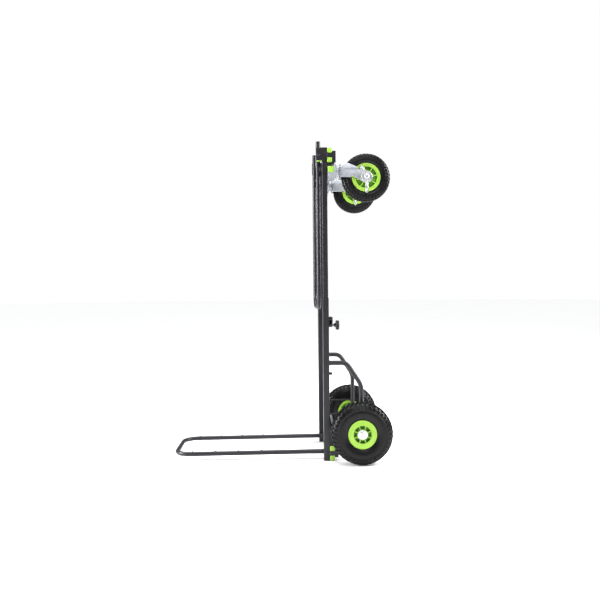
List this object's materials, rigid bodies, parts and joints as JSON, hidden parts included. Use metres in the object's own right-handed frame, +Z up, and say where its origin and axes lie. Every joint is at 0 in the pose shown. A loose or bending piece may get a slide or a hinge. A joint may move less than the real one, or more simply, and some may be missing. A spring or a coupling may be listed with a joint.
{
  "type": "convertible hand truck",
  "caption": "Upright convertible hand truck: telescoping two-rail frame, fold-out U-shaped load toe, large pneumatic wheels and braked swivel casters behind the upper end.",
  "frame": {"origin": "on the floor, under the centre of the overall box at rest", "axes": "+Z up along the mast, -X the way the load toe points, +Y to the truck's right as seen from behind"},
  "size_m": [0.9179, 0.531, 1.343],
  "materials": {
    "frame_paint": "satin charcoal powder coat",
    "fastener_black": "black oxide",
    "zinc": "bright zinc plate",
    "steel": "bare turned steel",
    "hub_metal": "pale pressed metal",
    "green_plastic": "moulded, semi-gloss",
    "black_plastic": "moulded, matte",
    "black_rubber": "moulded, matte",
    "tyre_rubber": "moulded, matte"
  },
  "bodies": {
    "lower_frame": {"outer_rail_left": "frame_paint", "outer_rail_right": "frame_paint", "rail_foot_plugs": "black_plastic", "lower_end_stubs": "frame_paint", "lower_cross_tube": "frame_paint", "lower_frame_caps": "green_plastic", "lower_guide_channel": "frame_paint", "lock_cross_bar": "frame_paint", "stop_bumpers": "black_rubber", "axle_brace_left": "frame_paint", "axle_brace_right": "frame_paint", "axle_struts": "frame_paint", "strut_stay": "zinc", "axle_tube": "frame_paint", "axle": "steel", "axle_fasteners": "zinc", "toe_pivot_bolts": "fastener_black"},
    "upper_frame": {"inner_rail_left": "frame_paint", "inner_rail_right": "frame_paint", "upper_end_stubs": "frame_paint", "upper_cross_tube": "frame_paint", "upper_frame_caps": "green_plastic", "upper_guide_channel": "frame_paint", "cheek_plates": "frame_paint", "spacer_blocks": "green_plastic", "top_pivot_bolts": "fastener_black", "caster_cross_tube": "frame_paint", "caster_tube_caps": "green_plastic", "caster_brackets": "zinc", "caster_plates": "zinc", "caster_plate_bolts": "zinc", "kingpins": "zinc"},
    "toe_handle": {"toe_handle_tube": "frame_paint", "toe_handle_studs": "black_rubber", "toe_handle_plugs": "black_plastic"},
    "top_handle": {"top_handle_tube": "frame_paint", "top_handle_studs": "black_rubber", "top_handle_plugs": "black_plastic"},
    "wheel_left": {"tyre_left": "tyre_rubber", "rim_left": "green_plastic", "wheel_bearings_left": "steel", "hub_cap_left": "hub_metal"},
    "fork_left": {"caster_fork_left": "zinc", "caster_axle_left": "zinc"},
    "caster_wheel_left": {"caster_tyre_left": "tyre_rubber", "caster_rim_left": "green_plastic", "caster_bearings_left": "steel"},
    "brake_left": {"brake_lever_left": "zinc"},
    "knob_left": {"lock_knob_left": "black_plastic"},
    "wheel_right": {"tyre_right": "tyre_rubber", "rim_right": "green_plastic", "wheel_bearings_right": "steel", "hub_cap_right": "hub_metal"},
    "fork_right": {"caster_fork_right": "zinc", "caster_axle_right": "zinc"},
    "caster_wheel_right": {"caster_tyre_right": "tyre_rubber", "caster_rim_right": "green_plastic", "caster_bearings_right": "steel"},
    "brake_right": {"brake_lever_right": "zinc"},
    "knob_right": {"lock_knob_right": "black_plastic"}
  },
  "joints": [
    {"name": "frame_slide", "type": "slide", "parent": "lower_frame", "child": "upper_frame", "axis": [0, 0, 1], "range_m": [-0.455, 0]},
    {"name": "toe_fold", "type": "hinge", "parent": "lower_frame", "child": "toe_handle", "pos_m": [0.192, 0, 0.0315], "axis": [0, 1, 0], "range_deg": [0, 91]},
    {"name": "top_handle_fold", "type": "hinge", "parent": "upper_frame", "child": "top_handle", "pos_m": [0.167, 0, 1.2795], "axis": [0, 1, 0], "range_deg": [0, 90]},
    {"name": "wheel_left_spin", "type": "hinge", "parent": "lower_frame", "child": "wheel_left", "pos_m": [0.331, -0.222, 0.127], "axis": [0, 1, 0], "continuous": true},
    {"name": "caster_left_swivel", "type": "hinge", "parent": "upper_frame", "child": "fork_left", "pos_m": [0.252, -0.193, 1.2055], "axis": [1, 0, 0], "continuous": true},
    {"name": "caster_left_roll", "type": "hinge", "parent": "fork_left", "child": "caster_wheel_left", "pos_m": [0.36, -0.193, 1.1775], "axis": [0, 1, 0], "continuous": true},
    {"name": "brake_left_press", "type": "hinge", "parent": "fork_left", "child": "brake_left", "pos_m": [0.36, -0.193, 1.1775], "axis": [0, 1, 0], "range_deg": [0, 20]},
    {"name": "knob_left_turn", "type": "hinge", "parent": "lower_frame", "child": "knob_left", "pos_m": [0.2047, -0.1588, 0.567], "axis": [1, 0, 0], "range_deg": [-540, 0]},
    {"name": "wheel_right_spin", "type": "hinge", "parent": "lower_frame", "child": "wheel_right", "pos_m": [0.331, 0.222, 0.127], "axis": [0, 1, 0], "continuous": true},
    {"name": "caster_right_swivel", "type": "hinge", "parent": "upper_frame", "child": "fork_right", "pos_m": [0.252, 0.193, 1.2055], "axis": [1, 0, 0], "continuous": true},
    {"name": "caster_right_roll", "type": "hinge", "parent": "fork_right", "child": "caster_wheel_right", "pos_m": [0.36, 0.193, 1.1775], "axis": [0, 1, 0], "continuous": true},
    {"name": "brake_right_press", "type": "hinge", "parent": "fork_right", "child": "brake_right", "pos_m": [0.36, 0.193, 1.1775], "axis": [0, 1, 0], "range_deg": [0, 20]},
    {"name": "knob_right_turn", "type": "hinge", "parent": "lower_frame", "child": "knob_right", "pos_m": [0.2047, 0.1588, 0.567], "axis": [1, 0, 0], "range_deg": [-540, 0]}
  ]
}
